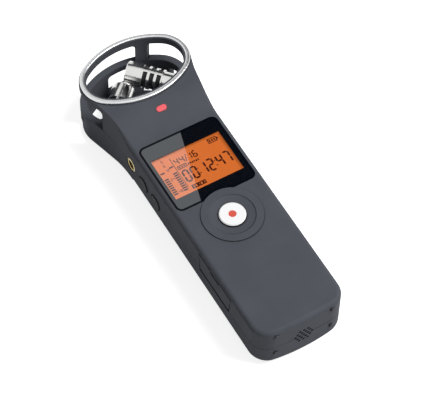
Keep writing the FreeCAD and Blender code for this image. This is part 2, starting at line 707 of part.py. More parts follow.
def glass_outline(name, gap, low, high):
    """The display window's outline: a rounded plate with a round notch over the record button."""
    y = (f"glass_from - {gap}", f"glass_to + {gap}")
    x = (f"-glass_w / 2 - {gap}", f"glass_w / 2 + {gap}")
    bar = [f"glass_round + {gap}", f"glass_w / 2 - glass_round"]
    made = [
        box(name + "_wide", x, (f"glass_from + glass_round", "glass_to - glass_round"), (low, high)),
        box(name + "_long", ("-glass_w / 2 + glass_round", "glass_w / 2 - glass_round"), y, (low, high)),
    ]
    for side in (-1, 1):
        for at in ("glass_from + glass_round", "glass_to - glass_round"):
            made.append(rod(f"{name}_corner_{len(made)}", UP, f"2 * ({bar[0]})", f"({high}) - ({low})",
                            f"{side} * ({bar[1]})", at, low))
    notch = rod(name + "_notch", UP, f"dial_d - 2 * {gap}", f"({high}) - ({low}) + 2", "0", "record_at", f"{low} - 1")
    return cut(name, fuse(name + "_whole", *made), notch)


def pill(name, direction, at, length, width, depth, x, z):
    """A slot with round ends that runs along X (when it is sunk in the face) or along Y (in a side)."""
    along_x = direction == UP
    ends = [f"-({length} - ({width})) / 2", f"({length} - ({width})) / 2"]
    made = []
    for number, end in enumerate(ends):
        made.append(rod(f"{name}_end_{number}", direction, width, depth, f"{x} + {end}" if along_x else x,
                        at if along_x else f"{at} + {end}", z))
    if along_x:
        made.append(box(f"{name}_middle", (ends[0], ends[1]), span(at, width), (z, f"{z} + {depth}")))
    else:
        made.append(box(f"{name}_middle", (x, f"{x} + {depth}"), (f"{at} + {ends[0]}", f"{at} + {ends[1]}"),
                        span(z, width)))
    return fuse(name, *made)


def front_openings():
    dish_r = f"(dish_d * dish_d / 4 + dish_deep * dish_deep) / (2 * dish_deep)"
    dish = doc.addObject("Part::Sphere", "dish")
    bind(dish, Radius=dish_r)
    place(dish, "0", "record_at", f"ridge_up - dish_deep + {dish_r}")
    return [
        glass_outline("glass_recess", "seat", "-glass_t - seat", "wall"),
        box("lcd_opening", span("0", "lcd_w + 2 * seat"), ("lcd_from - seat", "lcd_to + seat"), ("-2 * face_wall", "0")),
        pill("led_hole", UP, LED_AT, "led_l + 2 * seat", "led_w + 2 * seat", "5 * face_wall", "0", "-2 * face_wall"),
        dish,
        rod("record_hole", UP, "record_d + 2 * fit", "3 * face_wall", "0", "record_at", "-2 * face_wall"),
        rod("record_pocket", UP, "record_d + 2 * flange_w + 4 * fit", "face_pocket + face_wall", "0", "record_at",
            "-2 * face_wall"),
    ]


def side_openings():
    made = []
    for name, side, buttons in (("left", -1, LEFT_BUTTONS), ("right", 1, RIGHT_BUTTONS)):
        direction = (side, 0, 0)
        start = f"{side} * ({INNER} - wall)"
        made.append(rod(f"{name}_jack_hole", direction, "jack_ring_d + 2 * seat", "4 * wall", start, "jack_at",
                        "-jack_deep"))
        for button, (at, size) in buttons.items():
            made.append(rod(button + "_hole", direction, f"{size} + 2 * fit", "4 * wall", start, at, CONTROL))
    made.append(box("usb_opening", (f"{INNER} - wall", f"{SIDE} + wall"), span("usb_at", "usb_w + 2 * seat"),
                    (f"{BOARD_BACK} - usb_t - 2 * seat", f"{BOARD_BACK} + seat")))
    made.append(box("power_slot", (f"{INNER} - wall", f"{SIDE} + wall"),
                    span("power_at", "power_l + 2 * power_travel + 2 * fit"), span(CONTROL, "power_w + 2 * fit")))
    made.append(box("card_slot", (f"-{SIDE}", f"-({INNER} - 2 * cover_pad)"), span("card_at", "card_w + 4 * fit"),
                    span("-card_deep", "card_t + 2 * fit")))
    return made


def side_plate(name, thickness, start, gap, top, low):
    """A plate on the left side, its ends sloping in from a top edge to a low edge."""
    body = doc.addObject("PartDesign::Body", name)
    body.Placement = Placement(Vector(), Rotation(Vector(0, 0, 1), 90))
    place(body, start, "card_at", "0")
    half = f"(cover_l / 2 + {gap})"
    pad(body, "XZ_Plane", [(f"-{half}", top), (half, top), (f"{half} - cover_slope", low),
                           (f"cover_slope - {half}", low)], thickness, True)
    return body


def back_openings():
    slots = [box(name + "_slot", span(f"{place_x} * slide_pitch", "slide_slot_l"), span("slide_at", "slide_slot_w"),
                 ("-body_deep - wall", "-body_deep + 1.5 * wall")) for name, place_x in SLIDES.items()]
    return [
        box("lid_opening", span("0", "cover_w + 2 * fit"), ("cover_from - fit", "hinge_at + knuckle_d / 2 + 2 * fit + seat"),
            ("-body_deep - wall", "-body_deep + back_sag + 0.9 * wall")),
        group("back_holes", rod("tripod_hole", UP, "tripod_d + 2 * seat", "2 * tripod_l", "0", "tripod_at",
                                "-body_deep - wall"), *slots),
    ]


def screw_openings():
    """Stepped holes for the case screws, from the back up into the bosses of the face."""
    made = []
    for number, (side, y) in enumerate(SCREWS):
        profile = [("0", "0"), ("screw_head_d / 2 + seat", "0"), ("screw_head_d / 2 + seat", "head_deep - screw_sink"),
                   ("screw_d / 2 + seat", "head_deep - screw_sink"), ("screw_d / 2 + seat", "head_deep - face_wall"),
                   ("0", "head_deep - face_wall")]
        made.append(turned(f"screw_hole_{number}", UP, f"{side} * screw_x", y, "-head_deep", profile))
    return made


def end_openings():
    """The speaker grille: holes in staggered rows of three, four, five, four and three."""
    made = []
    for row in range(-2, 3):
        count = 5 - abs(row)
        for number in range(count):
            made.append(rod(f"grille_{row + 2}_{number}", AHEAD, "grille_hole_d", "2 * wall",
                            f"{number - (count - 1) / 2} * grille_pitch", "-wall / 2",
                            f"{row} * grille_pitch * sin(60 deg) - grille_deep"))
    return made


def end_feet(deep):
    """Two small feet moulded on the bottom end."""
    return [rod(f"{deep}_{side + 1}", BACK, "foot_d", "wall + foot_up", f"{side} * foot_x", "wall", f"-{deep}")
            for side in (-1, 1)]


def cage_windows():
    """The wide windows over the parting line, then the small ones below it, at the tip, sides and floor."""
    split = -mm("split_deep")
    low_from, low_to = mm("side_low_from"), mm("side_low_to")
    side_low = -mm("side_low_bottom"), -mm("side_low_top")
    floor_from, floor_to = mm("floor_from"), mm("floor_to")
    return [
        form("left_window", window(mm("post_to"), mm("window_left"), split)),
        form("right_window", window(mm("window_right") - 360, mm("post_from"), split)),
        form("low_window", window(mm("low_from"), mm("low_to"), -mm("low_bottom"), -mm("low_top"))),
        form("left_low_window", window(low_from, low_to, *side_low)),
        form("right_low_window", window(180 - low_to, 180 - low_from, *side_low)),
        form("left_floor_window", floor_window(floor_from, floor_to)),
        form("right_floor_window", floor_window(180 - floor_to, 180 - floor_from)),
    ]


def part_of_space(name, y, z):
    return box(name, ("-head_w", "head_w"), y, z)


ABOVE, BELOW = (f"{SPLIT} + seam / 2", "head_w"), ("-2 * head_deep", f"{SPLIT} - seam / 2")
BODY_SIDE, HEAD_SIDE = ("-head_l", HEAD), (HEAD, "overall_l + head_l")
hollow = cut("hollow_form", outer, room, well, group("windows", *cage_windows()))
skin = form("mid_wall", body_block(mm("wall") / 2, -mm("face_wall") / 2, ROOM_L))
side_holes = group("side_holes", *side_openings())
grille_holes = group("grille_holes", *end_openings())
recess = side_plate("cover_recess", "2 * cover_t", f"-({SIDE} - cover_t - fit)", "fit",
                    f"{CARD_HINGE} + card_pin_in + 2 * fit - seat", "-cover_bottom - groove_w")
screw_holes = group("screw_holes", *screw_openings())
lid_pin_hole = rod("lid_pin_hole", RIGHT, "lid_pin_d", "cover_w", "-cover_w / 2", "hinge_at", LID_HINGE)
card_pin_hole = rod("card_pin_hole", AHEAD, "card_pin_d", "cover_l", CARD_AXIS, "card_at - cover_l / 2", CARD_HINGE)

ridge = rod("record_ridge", UP, "ridge_d", "ridge_up + wall", "0", "record_at", "-wall")
front_inside = common("front_inside", skin, fuse("front_mouldings", *front_mouldings()))
front_form = common("front_form", hollow, part_of_space("body_above", BODY_SIDE, ABOVE))
front_blank = fuse("front_blank", front_form, front_inside, ridge, *end_feet("foot_high"))
front_cut = cut("front_cut", front_blank, recess, side_holes, grille_holes, screw_holes, *front_openings())
front_shell = cut("front_shell", fuse("front_with_lug", front_cut, *card_lug()), card_pin_hole)

rear_inside = common("rear_inside", skin, fuse("rear_mouldings", *rear_mouldings()))
rear_form = common("rear_form", hollow, part_of_space("body_below", BODY_SIDE, BELOW))
rear_blank = fuse("rear_blank", rear_form, rear_inside, *end_feet("foot_low"))
rear_cut = cut("rear_cut", rear_blank, recess, side_holes, grille_holes, screw_holes, *back_openings())
rear_shell = cut("rear_shell", fuse("rear_with_lug", rear_cut, *lid_lug()), lid_pin_hole)
front_cage = common("front_cage", hollow, part_of_space("head_above", HEAD_SIDE, ABOVE))
rear_cage = common("rear_cage", hollow, part_of_space("head_below", HEAD_SIDE, BELOW))


# ---------------------------------------------------------------- rim, display and record button

def rim_form():
    """The silver rim: an oval band on the cage's seat, with soft edges on top."""
    high = mm("rim_t")
    band = tilted_oval(-mm("rim_in"), 0, high).cut(tilted_oval(-mm("rim_in") - mm("rim_w"), -1, high + 1))
    crown = tilted_oval(1, high - 0.01, high + 1)
    top = [edge for edge in band.Edges if edge.common(crown).Edges]
    return band.makeFillet(mm("rim_soft"), top)


rim_ring = form("rim_ring", rim_form())
display_window = glass_outline("display_window", "0", "-glass_t", "0")
LCD_TOP = "(-glass_t - seat)"
lcd_panel = plate("lcd_panel", rectangle(span("0", "lcd_w"), ("lcd_from", "lcd_to")), f"{LCD_TOP} - lcd_t", LCD_TOP)
backlight = plate("backlight", rectangle(span("0", "lcd_w"), ("lcd_from", "lcd_to")),
                  f"{LCD_TOP} - lcd_t - light_t", f"{LCD_TOP} - lcd_t")
lens_skin = place(form("lens_skin", outer.Shape.copy()), "0", "0", "led_up")
led_lens = common("led_lens", pill("led_pill", UP, LED_AT, "led_l", "led_w", "4 * face_wall", "0", "-1.5 * face_wall"),
                  lens_skin)

FLANGE = "(face_pocket - face_wall - flange_gap)"
record_button = turned("record_button", UP, "0", "record_at", "0", [
    ("0", "record_up - mark_t"), ("record_dot_d / 2", "record_up - mark_t"), ("record_dot_d / 2", "record_up"),
    ("record_d / 2 - button_chamfer", "record_up"), ("record_d / 2", "record_up - button_chamfer"),
    ("record_d / 2", FLANGE), ("record_d / 2 + flange_w", FLANGE),
    ("record_d / 2 + flange_w", f"{FLANGE} - flange_t"), ("0", f"{FLANGE} - flange_t")])
record_mark = turned("record_mark", UP, "0", "record_at", "record_up - mark_t", [
    ("0", "0"), ("record_dot_d / 2", "0"), ("record_dot_d / 2", "mark_t"), ("0", "mark_t")])


# ---------------------------------------------------------------- boards and side controls

EDGE, LOW, HIGH = f"({INNER} - cover_pad - seat)", "board_from", f"({HEAD} - board_back)"
NOTCH = "(speaker_d / 2 + 2 * fit)"
main_plate = plate("main_board_plate", [
    (f"-{EDGE}", f"{LOW} + board_corner"), (f"board_corner - {EDGE}", LOW), (f"-{NOTCH}", LOW),
    (f"-{NOTCH}", "2 * wall + speaker_t + fit"), (NOTCH, "2 * wall + speaker_t + fit"), (NOTCH, LOW),
    (f"{EDGE} - board_corner", LOW), (EDGE, f"{LOW} + board_corner"),
    (EDGE, f"{HIGH} - board_corner"), (f"{EDGE} - board_corner", HIGH),
    (f"board_corner - {EDGE}", HIGH), (f"-{EDGE}", f"{HIGH} - board_corner")], BOARD_BACK, "-board_deep")
main_board = cut("main_board", main_plate, screw_holes)

BOARD_FACE = f"({SIDE} - side_board_in)"


def side_board(name, side, low, high):
    near, far = f"({BOARD_FACE} - side_board_t)", BOARD_FACE
    x = (near, far) if side > 0 else (f"-{far}", f"-{near}")
    return box(name, x, (low, high), (f"{CONTROL} - switch_l", BOARD_BACK))


volume_board = side_board("volume_board", -1, "down_at - switch_l", "up_at + switch_l / 2 + wall / 2")
level_board = side_board("level_board", 1, "down_at - switch_l", "up_at + switch_l / 2 + wall / 2")
transport_board = side_board("transport_board", 1, "power_at - power_l", "rewind_at + switch_l / 2 + wall")


def side_button(name, side, at, size):
    """A round button with a keeper flange and a stem to its switch, turned about its own travel."""
    reach = f"({size} / 2)"
    inside = f"({INNER} - flange_gap)"
    return turned(name + "_button", (side, 0, 0), "0", at, CONTROL, [
        ("0", f"{SIDE} + button_up"), (f"{reach} - button_chamfer", f"{SIDE} + button_up"),
        (reach, f"{SIDE} + button_up - button_chamfer"), (reach, inside), (f"{reach} + flange_w", inside),
        (f"{reach} + flange_w", f"{inside} - flange_t"), ("plunger_d / 2", f"{inside} - flange_t"),
        ("plunger_d / 2", f"{BOARD_FACE} + switch_t + plunger_t + press + seat / 2"),
        ("0", f"{BOARD_FACE} + switch_t + plunger_t + press + seat / 2")])


def push_switch(name, side, at):
    top = f"({BOARD_FACE} + switch_t)"
    x = (BOARD_FACE, top) if side > 0 else (f"-{top}", f"-{BOARD_FACE}")
    case = box(name + "_switch", x, span(at, "switch_l"), span(CONTROL, "switch_l"))
    return fuse(name + "_push", case, rod(name + "_plunger", (side, 0, 0), "plunger_d", "plunger_t",
                                          f"{side} * {top}", at, CONTROL))


buttons, switches = [], []
for side, side_buttons in ((-1, LEFT_BUTTONS), (1, RIGHT_BUTTONS)):
    for name, (at, size) in side_buttons.items():
        buttons.append(side_button(name, side, at, size))
        switches.append(push_switch(name, side, at))
record_case = box("record_switch", span("0", "switch_l"), span("record_at", "switch_l"),
                  ("-board_deep", "switch_t - board_deep"))
switches.append(fuse("record_push", record_case, rod("record_plunger", UP, "plunger_d", "plunger_t", "0", "record_at",
                                                     "switch_t - board_deep")))
push_switches = group("push_switches", *switches)


def jack(name, side):
    """A 3.5 mm socket: ring, square body, blind bore and four legs up to the main board."""
    ring_out, ring_in, back = f"({SIDE} - seat)", f"({INNER} - fit)", f"({SIDE} - jack_l)"
    low, high = (back, ring_in) if side > 0 else (f"-{ring_in}", f"-{back}")
    parts = [
        box(name + "_body", (low, high), span("jack_at", "jack_w"), span("-jack_deep", "jack_w")),
        rod(name + "_ring", (side, 0, 0), "jack_ring_d", f"{ring_out} - {ring_in}", f"{side} * {ring_in}", "jack_at",
            "-jack_deep"),
    ]
    for leg_x in ("fit", "jack_l - wall - fit - leg_w"):
        for leg_y in (-1, 1):
            start = f"{back} + {leg_x}"
            x = (start, f"{start} + leg_w") if side > 0 else (f"-({start} + leg_w)", f"-({start})")
            parts.append(box(f"{name}_leg_{len(parts)}", x, span(f"jack_at + {leg_y} * (jack_w - leg_w) / 2", "leg_w"),
                             ("jack_w / 2 - jack_deep", BOARD_BACK)))
    bore = rod(name + "_bore", (side, 0, 0), "jack_bore_d", "jack_l", f"{side} * ({back} + 1)", "jack_at", "-jack_deep")
    return cut(name, fuse(name + "_solid", *parts), bore)


phones_jack = jack("phones_jack", -1)
line_in_jack = jack("line_in_jack", 1)

usb_case = box("usb_case", (f"{SIDE} - fit - usb_l", f"{SIDE} - fit"), span("usb_at", "usb_w"),
               (f"{BOARD_BACK} - usb_t", BOARD_BACK))
usb_room = box("usb_room", (f"{SIDE} - fit - usb_l + usb_wall", f"{SIDE}"), span("usb_at", "usb_w - 2 * usb_wall"),
               (f"{BOARD_BACK} - usb_t + usb_wall", f"{BOARD_BACK} - usb_wall"))
usb_tongue = box("usb_tongue", (f"{SIDE} - fit - usb_l", f"{SIDE} - 5 * fit"), span("usb_at", "usb_w / 2"),
                 span(f"{BOARD_BACK} - usb_t / 2", "2 * usb_wall"))
usb_socket = fuse("usb_socket", cut("usb_shell", usb_case, usb_room), usb_tongue)

POWER_IN = f"({INNER} - flange_gap)"
power_knob = box("power_knob", (POWER_IN, f"{SIDE} + button_up"), span("power_at", "power_l"), span(CONTROL, "power_w"))
power_flange = box("power_flange", (f"{POWER_IN} - flange_t", POWER_IN),
                   span("power_at", "power_l + 2 * power_travel + 4 * flange_w"),
                   span(CONTROL, "power_w + 2 * flange_w"))
power_stem = box("power_stem", (f"{BOARD_FACE} + switch_t + plunger_t + fit", f"{POWER_IN} - flange_t"),
                 span("power_at", "plunger_d"), span(CONTROL, "plunger_d"))
power_slider = fuse("power_slider", power_knob, power_flange, power_stem)
power_switch = box("power_switch", (BOARD_FACE, f"{BOARD_FACE} + switch_t + plunger_t"),
                   span("power_at", "power_l + 2 * power_travel"), span(CONTROL, "switch_l"))


# ---------------------------------------------------------------- card slot

card_outer = f"(card_in - {SIDE})"
card_inner = f"({card_outer} + card_l)"
card_socket = cut(
    "card_socket",
    box("card_socket_case", (f"cover_pad - {INNER} + seat", f"{card_inner} + card_push + seat"),
        span("card_at", "card_w + wall"), (f"{BOARD_BACK} - socket_t", BOARD_BACK)),
    box("card_socket_room", (f"-{SIDE}", f"{card_inner} + 2 * card_push"), span("card_at", "card_w + 2 * seat"),
        span("-card_deep", "card_t + 2 * seat")))
memory_card = plate("memory_card", [
    (card_outer, "card_at - card_w / 2"), (card_inner, "card_at - card_w / 2"),
    (card_inner, "card_at + card_w / 2 - 2 * card_t"), (f"{card_inner} - 2 * card_t", "card_at + card_w / 2"),
    (card_outer, "card_at + card_w / 2")], "-card_deep - card_t / 2", "-card_deep + card_t / 2")

KNUCKLE = "cover_l / 8"
card_plate = side_plate("card_plate", "cover_t", f"-({SIDE} - cover_t)", "0",
                        f"{CARD_HINGE} + card_pin_in - 2 * seat", "-cover_bottom")
card_notch = box("card_notch", (f"-{SIDE} - 1", f"-{INNER}"), span("card_at", f"2 * ({KNUCKLE} + fit)"),
                 (f"{CARD_HINGE} - card_pin_in - fit", "0"))
card_knuckles = [
    rod("card_knuckle_low", BACK, "2 * card_pin_in", KNUCKLE, CARD_AXIS, f"card_at - {KNUCKLE} - fit", CARD_HINGE),
    rod("card_knuckle_high", AHEAD, "2 * card_pin_in", KNUCKLE, CARD_AXIS, f"card_at + {KNUCKLE} + fit", CARD_HINGE)]
card_clear = rod("card_clear", AHEAD, "card_pin_d + 2 * pin_fit", "cover_l", CARD_AXIS, "card_at - cover_l / 2",
                 CARD_HINGE)
card_cover = cut("card_cover", fuse("card_cover_solid", cut("card_notched", card_plate, card_notch), *card_knuckles),
                 card_clear)
card_hinge_pin = rod("card_hinge_pin", AHEAD, "card_pin_d", f"4 * {KNUCKLE} + 2 * fit", CARD_AXIS,
                     f"card_at - 2 * {KNUCKLE} - fit", CARD_HINGE)


# ---------------------------------------------------------------- battery

body_form = form("body_form", body_block(0, 0, BODY_L))
lid_blank = box("lid_blank", span("0", "cover_w"), ("cover_from", "hinge_at + 4 * seat"),
                ("-body_deep - 1", "-body_deep + back_sag"))
lid_notch = box("lid_notch", span("0", "lug_w + 2 * fit"), ("hinge_at - knuckle_d / 2 - 2 * fit", "hinge_at + 4 * seat"),
                ("-body_deep - 1", "-body_deep / 2"))
grips = [box(f"lid_grip_{number}", span("0", "lug_w * 3"), span(f"cover_from + (4 + {number}) * wall", "wall / 2"),
             ("-body_deep - 1", "-body_deep + wall / 4")) for number in range(4)]
lid_plate = cut("lid_plate", common("lid_slab", body_form, lid_blank), room, lid_notch, group("lid_grips", *grips))
lid_knuckles = [
    rod("lid_knuckle_left", LEFT, "knuckle_d", "knuckle_w", "-lug_w / 2 - fit", "hinge_at", LID_HINGE),
    rod("lid_knuckle_right", RIGHT, "knuckle_d", "knuckle_w", "lug_w / 2 + fit", "hinge_at", LID_HINGE)]
lid_clear = rod("lid_clear", RIGHT, "lid_pin_d + 2 * pin_fit", "cover_w", "-cover_w / 2", "hinge_at", LID_HINGE)
battery_cover = cut("battery_cover", fuse("battery_cover_solid", lid_plate, *lid_knuckles), lid_clear)
battery_hinge_pin = rod("battery_hinge_pin", RIGHT, "lid_pin_d", "lug_w + 2 * knuckle_w + 2 * fit",
                        "-lug_w / 2 - knuckle_w - fit", "hinge_at", LID_HINGE)
aa_battery = turned("aa_battery", AHEAD, "battery_x", "battery_from", CELL_DEEP, [
    ("0", "0"), ("battery_d / 2 - contact_t", "0"), ("battery_d / 2", "contact_t"),
    ("battery_d / 2", "battery_l - contact_t"), ("battery_d / 2 - contact_t", "battery_l"),
    ("nub_d / 2", "battery_l"), ("nub_d / 2", "battery_l + nub_t"), ("0", "battery_l + nub_t")])
spring_plate = box("spring_plate", span("battery_x", "battery_d - wall"),
                   ("battery_from - spring_l - contact_t", "battery_from - spring_l"), span(CELL_DEEP, "battery_d - 2 * wall"))
spring_cone = turned("spring_cone", AHEAD, "battery_x", "battery_from - spring_l", CELL_DEEP, [
    ("0", "0"), ("nub_d / 2 + contact_t", "0"), ("nub_d / 2 - contact_t", "spring_l"), ("0", "spring_l")])
battery_spring = fuse("battery_spring", spring_plate, spring_cone)
battery_contact = box("battery_contact", span("battery_x", "battery_d - wall"),
                      ("battery_from + battery_l + nub_t", "battery_from + battery_l + nub_t + contact_t"),
                      span(CELL_DEEP, "battery_d - 2 * wall"))


# ---------------------------------------------------------------- back, end and screws

tripod_insert = turned("tripod_insert", UP, "0", "tripod_at", "-body_deep", [
    ("tripod_bore_d / 2", "0"), ("tripod_d / 2", "0"), ("tripod_d / 2", "tripod_l"), ("0", "tripod_l"),
    ("0", "tripod_l - wall / 2"), ("tripod_bore_d / 2", "tripod_l - wall / 2")])

SLIDE_TOP = f"({SLIDE_BOARD} - wall)"
sliders, slide_cases = [], []
for name, side in SLIDES.items():
    left = f"{side} * slide_pitch - slide_slot_l / 2 + fit"
    right = f"{side} * slide_pitch + slide_slot_l / 2 - fit - slide_travel"
    knob = box(name + "_knob", (left, right), span("slide_at", "slide_slot_w - 2 * fit"),
               ("slide_under - body_deep", f"{SLIDE_TOP} - seat"))
    keeper = box(name + "_keeper", (f"{left} - flange_w", f"{right} + flange_w"), span("slide_at", "slide_slot_w + 2 * flange_w"),
                 (f"{SLIDE_TOP} - seat - fit", f"{SLIDE_TOP} - seat"))
    sliders.append(fuse(name + "_slider", knob, keeper))
    slide_cases.append(box(name + "_case", span(f"{side} * slide_pitch", "slide_pitch - 2 * seat"),
                           span("slide_at", "slide_slot_l"), (SLIDE_TOP, SLIDE_BOARD)))
slide_switches = group("slide_switches", *slide_cases)
slide_board = box("slide_board", span("0", "3 * slide_pitch + 4 * wall"), span("slide_at", "slide_slot_l + 2 * wall"),
                  (SLIDE_BOARD, f"{SLIDE_BOARD} + side_board_t"))

GASKET = "wall + seat + flange_gap"
speaker_gasket = turned("speaker_gasket", AHEAD, "0", GASKET, "-grille_deep", [
    ("speaker_d / 2 - wall", "0"), ("speaker_d / 2", "0"), ("speaker_d / 2", "gasket_t"),
    ("speaker_d / 2 - wall", "gasket_t")])
speaker = turned("speaker", AHEAD, "0", f"{GASKET} + gasket_t", "-grille_deep", [
    ("0", "0"), ("speaker_d / 2", "0"), ("speaker_d / 2", "speaker_t / 3"), ("speaker_d / 3", "speaker_t / 2"),
    ("speaker_d / 3", "speaker_t"), ("0", "speaker_t")])

screws = [turned(f"case_screw_{number}", UP, f"{side} * screw_x", y, "-screw_sink - screw_head_t", [
    ("0", "0"), ("screw_head_d / 2", "0"), ("screw_head_d / 2", "screw_head_t"), ("screw_d / 2", "screw_head_t"),
    ("screw_d / 2", "screw_head_t + screw_sink - face_wall - fit"), ("0", "screw_head_t + screw_sink - face_wall - fit"),
]) for number, (side, y) in enumerate(SCREWS)]
case_screws = group("case_screws", *screws)


# ---------------------------------------------------------------- microphones

MIC_SLEEVE = "(mic_d / 2 - seat)"
MIC_BORE = "(mic_d / 2 - seat - mic_wall)"
SLOTTED = "(3 * mic_slot_pitch)"
MIC_L = f"(mic_head_l + {SLOTTED} + mic_tail_l)"


def aim(body, side, deep):
    """Lay a body's Z axis back along a microphone, from its front, with its Y axis up."""
    turn = math.radians(mm("mic_turn"))
    along = Vector(side * math.sin(turn), -math.cos(turn), 0)
    body.Placement = Placement(Vector(), Rotation(Vector(0, 0, 1).cross(along), Vector(0, 0, 1), along, "ZYX"))
    return place(body, f"{side} * mic_front * sin(mic_turn * 1 deg)", "overall_l - mic_back - mic_front * cos(mic_turn * 1 deg)",
                 f"-{deep}")


def microphone(name, side, deep):
    """One barrel: head shell, grille, slotted sleeve with its tail, dark core and rubber mount."""
    def turned_piece(piece, profile):
        return aim(turned(f"{name}_{piece}", UP, "0", "0", "0", profile), side, deep)

    head = turned_piece("head", [
        ("mic_d / 2 - mic_wall", "0"), ("mic_d / 2 - mic_wall / 2", "0"), ("mic_d / 2", "mic_wall / 2"),
        ("mic_d / 2", "mic_head_l"), ("0", "mic_head_l"), ("0", "mic_head_l - mic_wall"),
        ("mic_d / 2 - mic_wall", "mic_head_l - mic_wall")])
    grille = turned_piece("grille", [
        ("0", "seat"), ("mic_d / 2 - mic_wall", "seat"), ("mic_d / 2 - mic_wall", "mesh_t"), ("0", "mesh_t")])
    end = f"(mic_head_l + {SLOTTED})"
    sleeve = turned_piece("sleeve", [
        (MIC_BORE, "mic_head_l"), (MIC_SLEEVE, "mic_head_l"), (MIC_SLEEVE, end), ("mic_tail_d / 2", end),
        ("mic_tail_d / 2", MIC_L), ("0", MIC_L), ("0", end), (MIC_BORE, end)])
    for number in range(3):
        middle = f"mic_head_l + (0.5 + {number}) * mic_slot_pitch"
        for turn in (mm("mic_slot_turn"), mm("mic_slot_turn") + 90):
            pierce(sleeve, "YZ_Plane", rectangle(span("0", "mic_slot_l"), span(middle, "mic_slot_w")), turn)
    core = turned_piece("core", [
        ("0", "mic_head_l"), (f"{MIC_BORE} - seat", "mic_head_l"), (f"{MIC_BORE} - seat", end), ("0", end)])
    stub = turned_piece("stub", [("0", MIC_L), ("grommet_d / 2", MIC_L), ("grommet_d / 2", f"2 * {MIC_L}"),
                                 ("0", f"2 * {MIC_L}")])
    return [head, grille, sleeve, core, common(name + "_grommet", stub, well)]


upper_mic = microphone("upper_mic", 1, "mic_high")
lower_mic = microphone("lower_mic", -1, "mic_low")


# ---------------------------------------------------------------- check and write

NODES = [
    front_shell, rear_shell, front_cage, rear_cage, rim_ring, display_window, lcd_panel, backlight, led_lens, record_button, record_mark,
    main_board, volume_board, level_board, transport_board, push_switches, *buttons, phones_jack, line_in_jack,
    usb_socket, power_slider, power_switch, card_socket, memory_card, card_cover, card_hinge_pin, battery_cover,
    battery_hinge_pin, aa_battery, battery_spring, battery_contact, tripod_insert, *sliders, slide_switches,
    slide_board, speaker_gasket, speaker, case_screws, *upper_mic, *lower_mic,
]

doc.recompute()
for thing in doc.Objects:
    if {"Invalid", "Error"} & set(thing.State):
        raise RuntimeError(f"{thing.Name} did not build: {thing.State}")
for node in NODES:
    if node.Shape.isNull() or not node.Shape.isValid():
        raise RuntimeError(f"{node.Label} has no valid shape")

os.makedirs("parts", exist_ok=True)
for node in NODES:
    node.Shape.exportStep(f"parts/{node.Label}.step")
    print(f"{node.Label}: {len(node.Shape.Solids)} solid, {node.Shape.Volume:.1f} mm3")
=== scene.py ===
import json
import math

import bmesh
import bpy
from mathutils import Matrix, Vector


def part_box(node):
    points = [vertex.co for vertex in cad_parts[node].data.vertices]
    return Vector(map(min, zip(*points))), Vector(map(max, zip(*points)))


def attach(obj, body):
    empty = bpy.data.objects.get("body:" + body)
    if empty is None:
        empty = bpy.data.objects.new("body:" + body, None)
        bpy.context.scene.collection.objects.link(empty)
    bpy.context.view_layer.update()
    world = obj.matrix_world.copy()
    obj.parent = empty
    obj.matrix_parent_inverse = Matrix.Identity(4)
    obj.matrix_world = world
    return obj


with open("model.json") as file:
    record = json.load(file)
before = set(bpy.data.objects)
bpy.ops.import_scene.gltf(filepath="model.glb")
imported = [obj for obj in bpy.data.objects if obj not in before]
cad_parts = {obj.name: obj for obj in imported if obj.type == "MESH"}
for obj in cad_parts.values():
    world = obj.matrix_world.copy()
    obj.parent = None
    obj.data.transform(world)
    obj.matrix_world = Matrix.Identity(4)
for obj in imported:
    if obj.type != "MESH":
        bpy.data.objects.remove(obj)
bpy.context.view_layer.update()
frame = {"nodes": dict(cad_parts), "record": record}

nodes = frame["nodes"]
MM = 0.001


# ---------------------------------------------------------------- places on the object

def top_of(node):
    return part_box(node)[1].z


def middle_of(node):
    low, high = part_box(node)
    return (low + high) / 2


GLASS_LOW, GLASS_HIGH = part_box("display_window")
GLASS_CORNER = 2.5 * MM                     # radius of the display window's corners
LCD_LOW, LCD_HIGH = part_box("lcd_panel")
CLEAR_W, CLEAR_L = 28.2 * MM, 18.7 * MM     # clear part of the display window
CLEAR_AT = Vector((-0.15 * MM, (LCD_LOW.y + LCD_HIGH.y) / 2 - 0.35 * MM, GLASS_HIGH.z))
CAP_AT, CAP_TOP = middle_of("record_button"), top_of("record_button")
DIAL_AT = Vector((CAP_AT.x, CAP_AT.y, GLASS_HIGH.z))
DIAL_R, DISH_R = 11.7 * MM, 8.55 * MM       # notch in the window and dish in the casing, round the button
JACK_Y, JACK_Z = 24.175 * MM, 16.75 * MM    # axis of both jacks, which runs across the body
JACK_R = 3 * MM                             # outer radius of a jack's ring


# ---------------------------------------------------------------- materials

BLACK, WHITE = (0, 0, 0, 1), (1, 1, 1, 1)
PAINTED_GAP_SHADE = (0.002, 0.002, 0.003, 1)        # painted shade at the bottom of a gap or a pit
GAP_SHUT, GAP_OPEN = 0.45, 0.9              # share of open sky where the painted gap shade is black, and where it ends
NOISE_LOW, NOISE_HIGH = 0.3, 0.7            # most of a noise texture lies between these
GLOSS_CHANGE = 0.05                         # slow change of roughness, up and down


